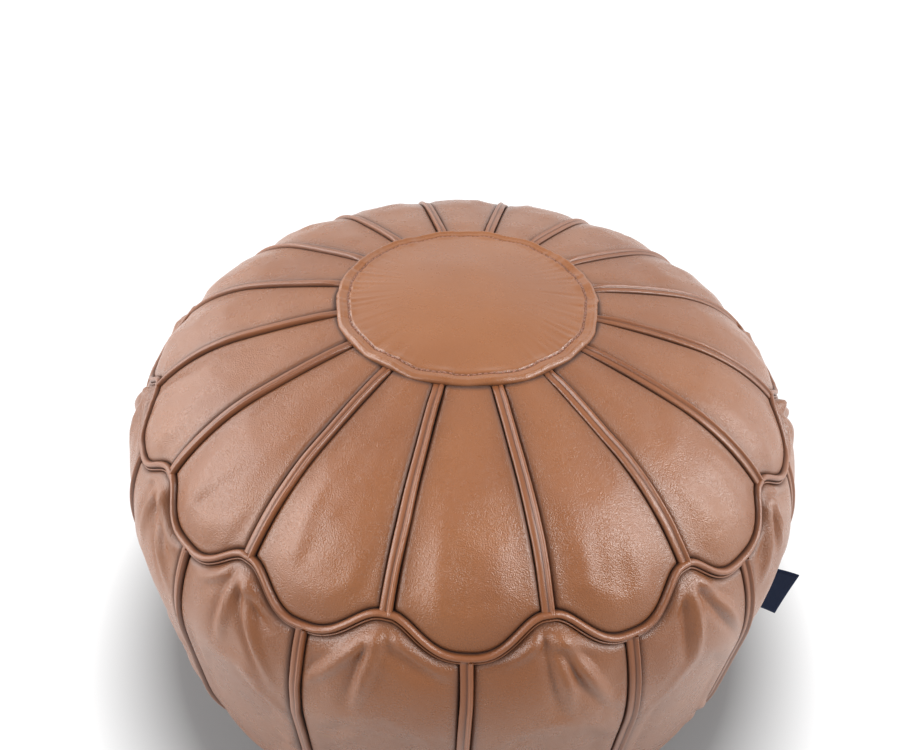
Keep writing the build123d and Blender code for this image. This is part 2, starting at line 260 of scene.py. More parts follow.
def leather(name, light, dark, grain=0.44, roughness=(0.23, 0.33)):
    """Coated leather: cloudy tone, fine pebble grain, and painted shade that darkens the grooves beside
    seams.
    """
    material, nodes, links, shader = new_material(name)
    where = nodes.new("ShaderNodeTexCoord").outputs["Object"]

    cloud = nodes.new("ShaderNodeTexNoise")
    cloud.inputs["Scale"].default_value = 14
    cloud.inputs["Detail"].default_value = 4
    links.new(where, cloud.inputs["Vector"])
    tone = nodes.new("ShaderNodeMix")
    tone.data_type = "RGBA"
    tone.inputs["A"].default_value = (*dark, 1)
    tone.inputs["B"].default_value = (*light, 1)
    spread = nodes.new("ShaderNodeMapRange")
    spread.inputs["From Min"].default_value = 0.30
    spread.inputs["From Max"].default_value = 0.70
    links.new(cloud.outputs["Fac"], spread.inputs["Value"])
    links.new(spread.outputs["Result"], tone.inputs["Factor"])

    # Painted shade: the groove attribute takes the colour to near black in seams, ditches and recesses, and a
    # little beside them.
    groove = nodes.new("ShaderNodeAttribute")
    groove.attribute_name = "groove"
    painted_shade = nodes.new("ShaderNodeMix")
    painted_shade.data_type = "RGBA"
    painted_shade.inputs["B"].default_value = (0.022, 0.005, 0.002, 1)
    links.new(groove.outputs["Fac"], painted_shade.inputs["Factor"])
    links.new(tone.outputs["Result"], painted_shade.inputs["A"])
    links.new(painted_shade.outputs["Result"], shader.inputs["Base Color"])

    warp = nodes.new("ShaderNodeTexNoise")
    warp.inputs["Scale"].default_value = 260
    warp.inputs["Detail"].default_value = 1
    links.new(where, warp.inputs["Vector"])
    shift = nodes.new("ShaderNodeMix")
    shift.data_type = "VECTOR"
    shift.inputs["Factor"].default_value = 0.0022
    links.new(where, shift.inputs["A"])
    links.new(warp.outputs["Color"], shift.inputs["B"])
    pebble = nodes.new("ShaderNodeTexVoronoi")
    pebble.feature = "SMOOTH_F1"
    pebble.inputs["Scale"].default_value = 1250
    pebble.inputs["Smoothness"].default_value = 0.35
    links.new(shift.outputs["Result"], pebble.inputs["Vector"])
    pore = nodes.new("ShaderNodeTexNoise")
    pore.inputs["Scale"].default_value = 1900
    pore.inputs["Detail"].default_value = 2
    links.new(where, pore.inputs["Vector"])
    height = nodes.new("ShaderNodeMath")
    height.operation = "MULTIPLY_ADD"
    height.inputs[1].default_value = -0.9
    links.new(pebble.outputs["Distance"], height.inputs[0])
    links.new(pore.outputs["Fac"], height.inputs[2])
    fine = nodes.new("ShaderNodeBump")
    fine.inputs["Strength"].default_value = grain
    fine.inputs["Distance"].default_value = 0.0005
    links.new(height.outputs["Value"], fine.inputs["Height"])

    ripple = nodes.new("ShaderNodeTexNoise")
    ripple.inputs["Scale"].default_value = 85
    ripple.inputs["Detail"].default_value = 3
    links.new(where, ripple.inputs["Vector"])
    coarse = nodes.new("ShaderNodeBump")
    coarse.inputs["Strength"].default_value = 0.16
    coarse.inputs["Distance"].default_value = 0.0010
    links.new(ripple.outputs["Fac"], coarse.inputs["Height"])
    links.new(fine.outputs["Normal"], coarse.inputs["Normal"])
    links.new(coarse.outputs["Normal"], shader.inputs["Normal"])

    polish = nodes.new("ShaderNodeMapRange")
    polish.inputs["To Min"].default_value = roughness[0]
    polish.inputs["To Max"].default_value = roughness[1]
    links.new(ripple.outputs["Fac"], polish.inputs["Value"])
    dull = nodes.new("ShaderNodeMath")
    dull.operation = "MAXIMUM"
    links.new(polish.outputs["Result"], dull.inputs[0])
    links.new(groove.outputs["Fac"], dull.inputs[1])
    links.new(dull.outputs["Value"], shader.inputs["Roughness"])
    shader.inputs["IOR"].default_value = 1.8
    return material


def woven(name, colour, thread_scale, roughness=0.8, sheen=0.2):
    """Plain weave: two crossed sets of threads, told apart by bump and tone."""
    material, nodes, links, shader = new_material(name)
    where = nodes.new("ShaderNodeTexCoord").outputs["Object"]
    waves = []
    for axis in ("X", "Z"):
        wave = nodes.new("ShaderNodeTexWave")
        wave.bands_direction = axis
        wave.inputs["Scale"].default_value = thread_scale
        wave.inputs["Distortion"].default_value = 0.6
        links.new(where, wave.inputs["Vector"])
        waves.append(wave.outputs["Fac"])
    crossed = nodes.new("ShaderNodeMath")
    crossed.operation = "MULTIPLY"
    links.new(waves[0], crossed.inputs[0])
    links.new(waves[1], crossed.inputs[1])
    tone = nodes.new("ShaderNodeMix")
    tone.data_type = "RGBA"
    tone.inputs["A"].default_value = (*[0.6 * c for c in colour], 1)
    tone.inputs["B"].default_value = (*[min(1, 1.3 * c) for c in colour], 1)
    links.new(crossed.outputs["Value"], tone.inputs["Factor"])
    links.new(tone.outputs["Result"], shader.inputs["Base Color"])
    bump = nodes.new("ShaderNodeBump")
    bump.inputs["Strength"].default_value = 0.5
    bump.inputs["Distance"].default_value = 0.0003
    links.new(crossed.outputs["Value"], bump.inputs["Height"])
    links.new(bump.outputs["Normal"], shader.inputs["Normal"])
    shader.inputs["Roughness"].default_value = roughness
    shader.inputs["Sheen Weight"].default_value = sheen
    return material


def solid_finish(name, colour, metallic, roughness, scratch):
    """Metal or moulded nylon with fine handling marks in its polish."""
    material, nodes, links, shader = new_material(name)
    where = nodes.new("ShaderNodeTexCoord").outputs["Object"]
    marks = nodes.new("ShaderNodeTexNoise")
    marks.inputs["Scale"].default_value = 900
    marks.inputs["Detail"].default_value = 4
    links.new(where, marks.inputs["Vector"])
    polish = nodes.new("ShaderNodeMapRange")
    polish.inputs["To Min"].default_value = roughness - scratch
    polish.inputs["To Max"].default_value = roughness + scratch
    links.new(marks.outputs["Fac"], polish.inputs["Value"])
    links.new(polish.outputs["Result"], shader.inputs["Roughness"])
    tone = nodes.new("ShaderNodeMix")
    tone.data_type = "RGBA"
    tone.inputs["A"].default_value = (*[0.7 * c for c in colour], 1)
    tone.inputs["B"].default_value = (*colour, 1)
    links.new(marks.outputs["Fac"], tone.inputs["Factor"])
    links.new(tone.outputs["Result"], shader.inputs["Base Color"])
    shader.inputs["Metallic"].default_value = metallic
    return material


TAN = leather("tan_leather", light=(0.362, 0.131, 0.045), dark=(0.300, 0.102, 0.034))
WELT = leather("welt_leather", light=(0.330, 0.112, 0.037), dark=(0.265, 0.085, 0.027), grain=0.24,
               roughness=(0.28, 0.38))
BASE = leather("base_leather", light=(0.345, 0.124, 0.043), dark=(0.285, 0.097, 0.033))
# The same leather as the panels, a little lighter: painted light on the top disc.
DISC = leather("disc_leather", light=(0.374, 0.138, 0.048), dark=(0.325, 0.115, 0.039), grain=0.24)
THREAD = woven("thread", (0.56, 0.25, 0.17), 1500, roughness=0.5)
LABEL = woven("label_weave", (0.010, 0.038, 0.125), 1100, roughness=0.75, sheen=0.0)
LINER = woven("liner_cotton", (0.70, 0.65, 0.55), 700)
TAPE = woven("zip_tape", (0.10, 0.045, 0.025), 900)
NYLON = solid_finish("zip_coil", (0.09, 0.040, 0.022), 0.0, 0.42, 0.08)
METAL = solid_finish("zip_metal", (0.55, 0.42, 0.22), 1.0, 0.32, 0.10)


# ---- panels ---------------------------------------------------------------------------------------
def fold(x, y, start, end, width, height):
    """A soft ridge with a shallower dip beside it, from start to end on a plane, in metres."""
    ax, ay = start
    length = math.hypot(end[0] - ax, end[1] - ay)
    dx = (end[0] - ax) / length
    dy = (end[1] - ay) / length
    along = ((x - ax) * dx + (y - ay) * dy) / length
    across = ((x - ax) * -dy + (y - ay) * dx) / width
    fade = smooth(along / 0.18 + 0.6) * smooth((1.1 - along) / 0.7)
    return height * fade * (np.exp(-across ** 2) - 0.55 * np.exp(-(across - 1.7) ** 2))


def panel_grid(centre, top_s, bottom_s, columns, rows, cluster):
    """Angles and arc lengths over a panel. Its side edges lie under the welts' edges. cluster crowds the
    lines towards the edges."""
    t = np.linspace(-1, 1, columns)
    v = np.linspace(0, 1, rows)
    if cluster:
        t = t * (1.30 - 0.30 * t * t)
        v = 0.5 + 0.5 * (2 * v - 1) * (1.25 - 0.25 * (2 * v - 1) ** 2)
    edge = WELT_HALF + GAP
    half = STEP / 2
    theta = centre + half * t[None, :] * np.ones((rows, 1))
    for _ in range(3):
        s = top_s(theta) + v[:, None] * (bottom_s(theta) - top_s(theta))
        radius = section(s)[0]
        theta = centre + t[None, :] * (half - edge / radius)
    return theta, s, t, v


def start_outset(kind, t, v, crown):
    """A panel before it is blown up: a low even crown on sunk edges."""
    side = 1 - np.abs(t[None, :]) ** 3
    end = 1 - np.abs(2 * v[:, None] - 1) ** 8
    return SEAM_DEPTH + crown * side * end * fullness_along(kind, v)


def fullness_along(kind, v):
    """How full a panel is down its length: petals are flat by the medallion and fat above the piping."""
    if kind == "petal":
        return 0.62 + 0.38 * smooth((v[:, None] - 0.25) / 0.60)
    return 1.0 - 0.45 * smooth((v[:, None] - 0.55) / 0.45)


def blow_up(points, faces, pinned, stretch, pressure, frames=20):
    """Cloth with pinned edges under pressure, a little larger than the space it is sewn into."""
    mesh = bpy.data.meshes.new("blown")
    mesh.from_pydata(points.tolist(), [], faces)
    obj = bpy.data.objects.new("blown", mesh)
    scene.collection.objects.link(obj)
    pins = obj.vertex_groups.new(name="pins")
    pins.add(np.flatnonzero(pinned).tolist(), 1.0, "REPLACE")
    slack = obj.vertex_groups.new(name="slack")
    for level in np.unique(stretch):
        slack.add(np.flatnonzero(stretch == level).tolist(), float(level), "REPLACE")
    cloth = obj.modifiers.new("Cloth", "CLOTH")
    settings = cloth.settings
    settings.quality = 6
    settings.mass = 0.3
    settings.tension_stiffness = 40
    settings.compression_stiffness = 40
    settings.shear_stiffness = 15
    settings.bending_stiffness = 1.5
    settings.vertex_group_mass = "pins"
    settings.use_pressure = True
    settings.uniform_pressure_force = pressure
    settings.vertex_group_shrink = "slack"
    settings.shrink_min = 0.0
    settings.shrink_max = -0.05
    settings.effector_weights.gravity = 0
    cloth.collision_settings.use_collision = False
    cloth.point_cache.frame_start = 1
    cloth.point_cache.frame_end = frames
    scene.frame_start = 1
    scene.frame_end = frames
    for number in range(1, frames + 1):
        scene.frame_set(number)
    shown = obj.evaluated_get(bpy.context.evaluated_depsgraph_get()).data
    settled = np.zeros(len(points) * 3, np.float32)
    shown.vertices.foreach_get("co", settled)
    bpy.data.objects.remove(obj)
    scene.frame_set(1)
    return settled.reshape(-1, 3).astype(float)


def cubic_weights(old, new):
    """For each new place along a line, the four old samples about it and their Catmull-Rom weights."""
    spot = np.interp(new, old, np.arange(len(old)))
    base = np.clip(np.floor(spot).astype(int), 0, len(old) - 2)
    f = spot - base
    index = np.clip(base[:, None] + np.array([-1, 0, 1, 2]), 0, len(old) - 1)
    weights = np.stack([
        -0.5 * f + f ** 2 - 0.5 * f ** 3,
        1 - 2.5 * f ** 2 + 1.5 * f ** 3,
        0.5 * f + 2 * f ** 2 - 1.5 * f ** 3,
        -0.5 * f ** 2 + 0.5 * f ** 3,
    ], axis=1)
    return index, weights


def resampled(grid, old_t, old_v, new_t, new_v):
    """A grid of heights on new lines."""
    index, weights = cubic_weights(old_v, new_v)
    grid = (grid[index] * weights[:, :, None]).sum(1)
    index, weights = cubic_weights(old_t, new_t)
    return (grid[:, index] * weights[None]).sum(2)


PANEL_SETS = {
    # name: centre of the first one, its two ends, start crown, coarse size, fine size
    "petal": dict(first=0.0, top=lambda a: s_at_radius(INNER_RADIUS) + 0 * a, bottom=above_piping,
                  crown=0.0046, coarse=(23, 44), fine=(47, 84)),
    "side_panel": dict(first=STEP / 2, top=below_piping, bottom=lambda a: SKIN_LENGTH - 0.0005 + 0 * a,
                       crown=0.0045, coarse=(23, 66), fine=(47, 112)),
}


def settled_outsets(kind):
    """Every point of a set of panels before and after blowing up, on the coarse grid, and its normal."""
    facts = PANEL_SETS[kind]
    columns, rows = facts["coarse"]
    points, faces, pinned, stretch, normals = [], [], [], [], []
    for k in range(PETALS):
        centre = facts["first"] + k * STEP
        theta, s, t, v = panel_grid(centre, facts["top"], facts["bottom"], columns, rows, False)
        outset = start_outset(kind, t, v, facts["crown"] * (1 + 0.2 * wander(k, 0.5, 31)))
        outset = outset + 0.0006 * wander(theta * SKIN_RADIUS / 0.02, s / 0.02, 5)
        faces += grid_faces(rows, columns, start=k * rows * columns)
        points.append(place(theta, s, outset).reshape(-1, 3))
        normals.append(skin_normal(theta, s).reshape(-1, 3))
        edge = np.zeros((rows, columns), bool)
        edge[:, [0, -1]] = True
        edge[[0, -1]] = True
        if kind == "petal":
            edge |= section(s)[0] < MEDALLION_RADIUS - 0.002
        pinned.append(edge.ravel())
        fullness = 0.62 + 0.22 * wander(k * 3.7, 2.5, 17) + 0.12 * wander(theta * 8, s / 0.05, 11)
        stretch.append(np.round(np.clip(fullness, 0, 1), 1).ravel())
    points = np.concatenate(points)
    moved = blow_up(points, faces, np.concatenate(pinned), np.concatenate(stretch), 4.0)
    return points, moved, np.concatenate(normals)


def panel_offsets(kind):
    """Each panel's movement off its start, along the skin's normal, capped."""
    points, moved, normals = settled_outsets(kind)
    columns, rows = PANEL_SETS[kind]["coarse"]
    step = moved - points
    rise = np.clip((step * normals).sum(1), -0.004, 0.010)
    return rise.reshape(PETALS, rows, columns)


def side_creases(k, x, y, top_y):
    """Pull wrinkles that fan down from the valley over a side panel, and slanting drag lines lower down."""
    own = np.random.default_rng(400 + k)
    crease = np.zeros_like(x)
    fan = [(-1.0, 0.030), (1.0, 0.030), (own.uniform(-0.3, 0.3), 0.045), (own.choice([-1, 1]) * 0.6, 0.060)]
    for slant, reach in fan:
        lean = slant + own.uniform(-0.15, 0.15)
        length = reach * own.uniform(0.8, 1.3)
        start = (0.007 * np.sign(slant) * abs(slant), top_y + 0.007)
        end = (start[0] + length * math.sin(lean), start[1] + length * math.cos(lean))
        width = own.uniform(0.0030, 0.0050)
        crease += fold(x, y, start, end, width, own.uniform(0.0024, 0.0042))
    for _ in range(4):
        side = own.choice([-1, 1])
        start = (side * own.uniform(0.010, 0.040), top_y + own.uniform(0.05, 0.16))
        length = own.uniform(0.035, 0.075)
        lean = side * own.uniform(0.5, 1.1)
        end = (start[0] + length * math.sin(lean), start[1] + length * math.cos(lean))
        crease += fold(x, y, start, end, own.uniform(0.003, 0.006), own.uniform(0.0005, 0.0012))
    return crease


def petal_creases(k, x, y, bottom_y):
    """A few long soft folds towards a petal's lower corners."""
    own = np.random.default_rng(700 + k)
    crease = np.zeros_like(x)
    for _ in range(3):
        side = own.choice([-1, 1])
        start = (side * own.uniform(0.008, 0.030), bottom_y - own.uniform(0.012, 0.030))
        length = own.uniform(0.030, 0.060)
        lean = -side * own.uniform(-0.1, 0.45)
        end = (start[0] + length * math.sin(lean), start[1] - length * math.cos(lean))
        crease += fold(x, y, start, end, own.uniform(0.004, 0.007), own.uniform(0.0003, 0.0009))
    return crease


def seam_painted_shade(kind, t, radius, from_side, from_end, from_bottom, near):
    """Painted shade on a panel: black in its seams, a little less beside them, and on side panels faintly all
    over and more towards the floor.
    """
    beside_bead = t[None, :] < 0
    seam_width = np.where(beside_bead, 0.0013, 0.0018)
    groove = np.maximum(np.exp(-(from_side / seam_width) ** 1.5), np.exp(-(from_end / 0.0016) ** 1.5))
    groove = np.maximum(groove, 0.38 * np.exp(-near / 0.0042))
    if kind == "petal":
        # painted shade where a petal runs under the medallion's rim
        rim = np.clip(radius - MEDALLION_RADIUS, 0, None)
        return np.maximum(groove, 0.8 * np.exp(-(rim / 0.0015) ** 1.5))
    # painted shade along the base seam, faintly over the whole side panel and more towards the floor
    groove = np.maximum(groove, 0.7 * np.exp(-(from_bottom / 0.004)))
    return np.maximum(groove, 0.10 + 0.10 * smooth(1 - from_bottom / 0.16))


def with_hems(kind, theta, s, points, groove):
    """A panel's points and painted shade with a sunk column past each side and a sunk row under the piping,
    the sunk ones in full painted shade.
    """
    rows, columns = theta.shape
    tuck = TUCK_WIDTH / section(s)[0]
    left = place(theta[:, :1] - tuck[:, :1], s[:, :1], TUCK_DEPTH)
    right = place(theta[:, -1:] + tuck[:, -1:], s[:, -1:], TUCK_DEPTH)
    points = np.concatenate([left, points, right], axis=1)
    groove = np.concatenate([np.ones((rows, 1)), groove, np.ones((rows, 1))], axis=1)
    at_piping = -1 if kind == "petal" else 0
    spread = np.concatenate(
        [theta[:1, :1] - tuck[:1, :1], theta[:1], theta[:1, -1:] + tuck[:1, -1:]], axis=1
    )
    spread = spread - theta[:1, :1] + theta[at_piping, :1]
    short = -HEM_GAP if kind == "petal" else HEM_GAP
    hem = place(spread, scallop(spread) + short, TUCK_DEPTH)
    # the hem row tucked under the piping is in full painted shade
    dark = np.ones((1, columns + 2))
    if kind == "petal":
        return np.concatenate([points, hem]), np.concatenate([groove, dark])
    return np.concatenate([hem, points]), np.concatenate([dark, groove])


def build_panels(kind):
    """Replaces one set of CAD panels with puffed ones, on a finer grid than the one they were blown on.

    Each has a rolled edge along its seams, and painted shade in them.
    """
    facts = PANEL_SETS[kind]
    rise = panel_offsets(kind)
    coarse_columns, coarse_rows = facts["coarse"]
    columns, rows = facts["fine"]
    for k in range(PETALS):
        centre = facts["first"] + k * STEP
        theta, s, t, v = panel_grid(centre, facts["top"], facts["bottom"], columns, rows, True)
        old_t = np.linspace(-1, 1, coarse_columns)
        old_v = np.linspace(0, 1, coarse_rows)
        lift = resampled(rise[k], old_t, old_v, t, v)

        radius = section(s)[0]
        from_side = (1 - np.abs(t[None, :])) * (STEP / 2 * radius - WELT_HALF - GAP)
        from_top = s - s[:1]
        from_bottom = s[-1:] - s
        x = (theta - centre) * radius
        if kind == "petal":
            from_end = from_bottom / piping_slant(theta)
            creases = petal_creases(k, x, s, float(s[-1].max()))
        else:
            from_end = from_top / piping_slant(theta)
            creases = side_creases(k, x, s, float(s[0].min()))
        near = np.minimum(from_side, from_end)
        eased = 0.6 * fullness_along(kind, v)
        dome = 0.0022
        if kind == "petal":
            eased = 0.05 + 0.65 * smooth((v[:, None] - 0.20) / 0.65)
            dome = 0.0006 + 0.0022 * smooth((v[:, None] - 0.3) / 0.5)
        else:
            near = np.minimum(near, from_bottom)
        rolled = np.sqrt(1 - (1 - np.clip(near / EDGE_ROLL, 0, 1)) ** 2)
        height = EDGE_RISE * rolled + dome * (1 - t[None, :] ** 2) * smooth(near / 0.02) + lift * eased
        height += creases * smooth(near / 0.006)
        height += 0.0003 * wander(x / 0.016 + 9, s / 0.016, 43 + k) * smooth(near / 0.006)
        points = place(theta, s, SEAM_DEPTH + height)
        # painted shade in and beside the seams, and on side panels towards the floor
        groove = seam_painted_shade(kind, t, radius, from_side, from_end, from_bottom, near)
        points, groove = with_hems(kind, theta, s, points, groove)
        name = f"{kind}_{k + 1:02d}"
        panel = piece(name + "_puffed", points, grid_faces(rows + 1, columns + 2), TAN, groove)
        thick = panel.modifiers.new("Thickness", "SOLIDIFY")
        thick.thickness = LEATHER
        thick.offset = -1
        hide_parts(name)


build_panels("petal")
build_panels("side_panel")


# ---- welts ----------------------------------------------------------------------------------------
# Across a welt and off the skin: a flat folded flange, a stitch ditch, then a round bead on the far side.
WELT_SECTION = np.array([
    (-3.0, -3.8), (-3.4, -1.6), (-3.6, 0.9), (-3.3, 1.75), (-2.2, 2.15), (-1.0, 2.25), (-0.2, 2.15),
    (0.35, 1.85), (0.80, 2.45), (1.30, 3.35), (2.10, 3.80), (2.90, 3.40), (3.50, 1.90), (3.60, 0.0),
    (3.4, -1.6), (3.0, -3.8),
]) * 0.001
# Painted shade across the welt: dark down both its sides and in the stitch ditch between flange and bead.
WELT_SHADE = np.array([1, 1, 0.6, 0.1, 0, 0, 0.15, 0.55, 0.1, 0, 0, 0, 0.25, 0.9, 1, 1])


def welt(theta, start_s, end_s, sunk_start, seed):
    """Rings of one folded welt down the skin, with a hand-sewn wobble."""
    count = max(24, int((end_s - start_s) / WELT_STEP))
    s = np.linspace(start_s, end_s, count)
    radius = section(s)[0]
    wobble = 0.0006 * wander(s / 0.045, seed, 3) + 0.0002 * wander(s / 0.012, seed, 4)
    width = 1 + 0.05 * wander(s / 0.03, seed, 6)
    height = 1 + 0.07 * wander(s / 0.02, seed, 8)
    if sunk_start:
        height = height * (0.45 + 0.55 * smooth((s - start_s) / 0.016))
    rings = []
    tones = []
    for i in range(count):
        across = WELT_SECTION[:, 0] * width[i] + wobble[i]
        off = np.where(WELT_SECTION[:, 1] > 0, WELT_SECTION[:, 1] * height[i], WELT_SECTION[:, 1])
        rings.append(place(theta + across / radius[i], s[i], off))
        tones.append(WELT_SHADE)
    return np.array(rings), np.array(tones)


def build_welts(name, node, lines):
    """All the welts of a set, as separate strips in one object."""
    everything, faces, tones = [], [], []
    count = 0
    for theta, start_s, end_s, sunk, seed in lines:
        rings, tone = welt(theta, start_s, end_s, sunk, seed)
        points, quads = swept(rings, False)
        faces += [tuple(count + i for i in f) for f in quads]
        count += len(points)
        everything.append(points)
        tones.append(tone.ravel())
    welts = piece(name, np.concatenate(everything), faces, WELT, np.concatenate(tones))
    rounder = welts.modifiers.new("Rounder", "SUBSURF")
    rounder.levels = rounder.render_levels = 1
    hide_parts(node)


seams = [(k + 0.5) * STEP for k in range(PETALS)]
build_welts("folded_petal_welts", "petal_welts", [
    (a, s_at_radius(MEDALLION_RADIUS - 0.004), float(scallop(a)) - 0.0006, True, i * 1.37)
    for i, a in enumerate(seams)
])
build_welts("folded_side_welts", "side_welts", [
    (k * STEP, float(scallop(k * STEP)) + 0.0006, SKIN_LENGTH - 0.002, False, 40 + k * 1.73)
    for k in range(PETALS)
])


# ---- piping ---------------------------------------------------------------------------------------
# Across the piping, downwards, and off the skin: a round cord, a crease, then its strip's edge.
PIPING_SECTION = np.array([
    (-2.7, -3.8), (-2.85, -1.0), (-3.0, 1.1), (-2.65, 2.4), (-1.9, 3.4), (-0.85, 3.75), (0.15, 3.4),
    (0.9, 2.4), (1.15, 0.9), (1.35, 0.3), (1.6, 1.2), (2.1, 1.75), (2.6, 1.4), (2.9, 0.5), (2.85, -1.2),
    (2.7, -3.8),
]) * 0.001
# Painted shade across the piping: dark down both its sides and in the crease between the cord and its strip's
# edge.
PIPING_SHADE = np.array([1, 1, 0.6, 0.1, 0, 0, 0, 0.25, 0.9, 1, 0.5, 0.1, 0.1, 0.6, 1, 1])


def build_piping():
    """A leather-covered cord along the scallops, kinked a little as it turns."""
    count = PETALS * 72
    theta = np.linspace(0, 2 * np.pi, count, endpoint=False)
    s = scallop(theta)
    path = place(theta, s, 0 * theta)
    ahead = frames_along(path, True)
    up = skin_normal(theta, s)
    down = np.cross(up, ahead)
    down /= np.linalg.norm(down, axis=1, keepdims=True)
    down *= np.sign((down * (place(theta, s + 0.001, 0 * theta) - path)).sum(1))[:, None]
    width = 1 + 0.05 * wander(theta * 30, 0.5, 23)
    height = 1 + 0.06 * wander(theta * 45, 0.5, 24)
    across = PIPING_SECTION[None, :, 0] * width[:, None]
    off = np.where(PIPING_SECTION[None, :, 1] > 0, PIPING_SECTION[None, :, 1] * height[:, None],
                   PIPING_SECTION[None, :, 1])
    rings = path[:, None] + across[..., None] * down[:, None] + off[..., None] * up[:, None]
    tone = PIPING_SHADE[None, :] * np.ones((count, 1))
    points, faces = swept(rings, True)
    piping = piece("covered_piping", points, faces, WELT, tone)
    rounder = piping.modifiers.new("Rounder", "SUBSURF")
    rounder.levels = rounder.render_levels = 1
    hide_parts("scallop_piping", "piping_cord")


build_piping()


# ---- medallion ------------------------------------------------------------------------------------
def medallion_edge(theta):
    """The medallion's outline: nearly straight from seam to seam, with hand-cut unevenness."""
    turns = theta / STEP
    across = turns - np.floor(turns) - 0.5
    return 0.991 + 0.009 * 4 * across ** 2 + 0.014 * wander(turns * 1.9, 0.3, 51)


def medallion_outset(theta, r):
    """Height of the medallion's face off the skin, with puckers that run in from the stitching."""
    lift_at_seams = 0.5 + 0.5 * np.cos(2 * np.pi * (theta / STEP - 0.5))
    lip = 0.0014 * np.exp(-((r - 0.0880) / 0.0017) ** 2)
    hem = 0.0031 + 0.0010 * lift_at_seams + lip
    ditch = np.exp(-((r - STITCH_RADIUS) / 0.0011) ** 2)
    rise = 0.0030 + 0.0018 * (1 - smooth((r - 0.02) / 0.055))
    inside = smooth((STITCH_RADIUS - r) / 0.006)
    face = hem + (rise - hem) * inside
    reach = 0.006 + 0.006 * np.cos(theta) ** 2
    pucker = wander(theta * 26, r / 0.05, 53) * np.exp(-np.abs(STITCH_RADIUS - r) / reach)
    swell = wander(4 + r * np.cos(theta) / 0.03, 4 + r * np.sin(theta) / 0.03, 57)
    return face - 0.0010 * ditch + (0.0005 + 0.0005 * np.cos(theta) ** 2) * pucker + 0.0005 * swell


def build_medallion():
    around = 512
    theta = np.linspace(0, 2 * np.pi, around, endpoint=False)
    radii = np.concatenate([np.linspace(0.002, 0.070, 22), np.linspace(0.072, 0.0800, 8),
                            np.linspace(0.0806, 0.0846, 11), np.linspace(0.0854, 0.0894, 6)])
    edge = medallion_edge(theta)
    rings = []
    tone = []
    for r in radii:
        s = r * (1 + (edge - 1) * smooth(r / MEDALLION_RADIUS))
        rings.append(place(theta, s, medallion_outset(theta, r)))
        # painted shade in the stitch ditch
        tone.append(0.55 * np.exp(-((r - STITCH_RADIUS) / 0.0007) ** 2) * np.ones(around))
    top = medallion_outset(theta, radii[-1])
    # The rim rolls under the edge; the third number is painted shade, darkest on its underside.
    rolled_rim = (
        (0.0899, 0.97, 0.0), (0.0906, 0.80, 0.0), (0.0910, 0.55, 0.25), (0.0911, 0.25, 0.8),
        (0.0907, 0.02, 1.0), (0.0880, -0.05, 1.0), (0.0800, -0.05, 1.0),
    )
    for r, share, dark in rolled_rim:
        rings.append(place(theta, r * edge, top * share))
        tone.append(dark * np.ones(around))
    points = np.concatenate(rings)
    faces = grid_faces(len(rings), around, closed_columns=True)
    faces.append(tuple(reversed(range(around))))
    last = (len(rings) - 1) * around
    faces.append(tuple(last + j for j in range(around)))
    disc = piece("topstitched_medallion", points, faces, DISC, np.concatenate(tone))
    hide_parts("medallion")


build_medallion()


def capsule(centre, along, up, length, radius):
    """One stitch: a short rounded strand that dips in at both ends."""
    across = np.cross(along, up)
    around = 8
    turn = np.linspace(0, 2 * np.pi, around, endpoint=False)
    rings = []
    for x in np.linspace(-1, 1, 7):
        thin = math.sqrt(max(0.05, 1 - abs(x) ** 4))
        middle = centre + along * x * length / 2 + up * radius * (0.9 * (1 - x * x) - 0.7)
        rings.append(middle + radius * thin * (np.cos(turn)[:, None] * across + np.sin(turn)[:, None] * up))
    return swept(np.array(rings), False)


def build_stitches(name, centres, alongs, ups, length, radius):
    """A row of stitches, each a little askew."""
    points, faces = [], []
    count = 0
    hand = np.random.default_rng(SEED + len(centres))
    for centre, along, up in zip(centres, alongs, ups):
        askew = along + np.cross(up, along) * hand.normal(0, 0.16)
        askew /= np.linalg.norm(askew)
        own, quads = capsule(centre, askew, up, length * hand.uniform(0.8, 1.1), radius)
        faces += [tuple(count + i for i in f) for f in quads]
        count += len(own)
        points.append(own)
    return piece(name, np.concatenate(points), faces, THREAD)


def build_medallion_stitches():
    pitch = 0.0036
    number = round(2 * math.pi * STITCH_RADIUS / pitch)
    theta = np.arange(number) * 2 * np.pi / number
    own = STITCH_RADIUS * (1 + (medallion_edge(theta) - 1) * smooth(STITCH_RADIUS / MEDALLION_RADIUS))
    centres = place(theta, own, medallion_outset(theta, STITCH_RADIUS) + 0.0002)
    alongs = frames_along(centres, True)
    row = build_stitches(
        "medallion_stitches", centres, alongs, skin_normal(theta, own), 0.0028, 0.00048
    )
    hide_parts("medallion_stitching")


build_medallion_stitches()


# ---- label ----------------------------------------------------------------------------------------
def build_label():
    """A navy strip folded double, which leans a little as it comes out of its seam."""
    low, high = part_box("side_label")
    root = Vector((math.cos(LABEL_AZIMUTH), math.sin(LABEL_AZIMUTH), 0))
    sideways = Vector((-root.y, root.x, 0))
    start_r = SKIN_RADIUS - 0.002
    end_r = SKIN_RADIUS + 0.0228
    rows = 15
    gap = 0.00042
    steps = np.linspace(0, 1, 13)
    outline = [(x, gap) for x in steps] + [(1.010, gap * 0.75), (1.016, 0), (1.010, -gap * 0.75)]
    outline += [(x, -gap) for x in steps[::-1]]
    points = []
    for up in np.linspace(0, 1, rows):
        for x, y in outline:
            lean = -0.0035 * x * x + 0.0016 * math.sin(2.2 * up + 1.0) * x
            r = start_r + (end_r - start_r) * x - 0.0012 * (1 - up) * x
            z = low.z + (high.z - low.z) * up + (0.0025 + 0.0055 * up) * x
            spot = root * r + sideways * (y + lean)
            points.append((spot.x, spot.y, z))
    label = piece("folded_label", points, grid_faces(rows, len(outline)), LABEL)
    thick = label.modifiers.new("Thickness", "SOLIDIFY")
    thick.thickness = 0.0004
    thick.offset = 0
    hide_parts("side_label")


build_label()


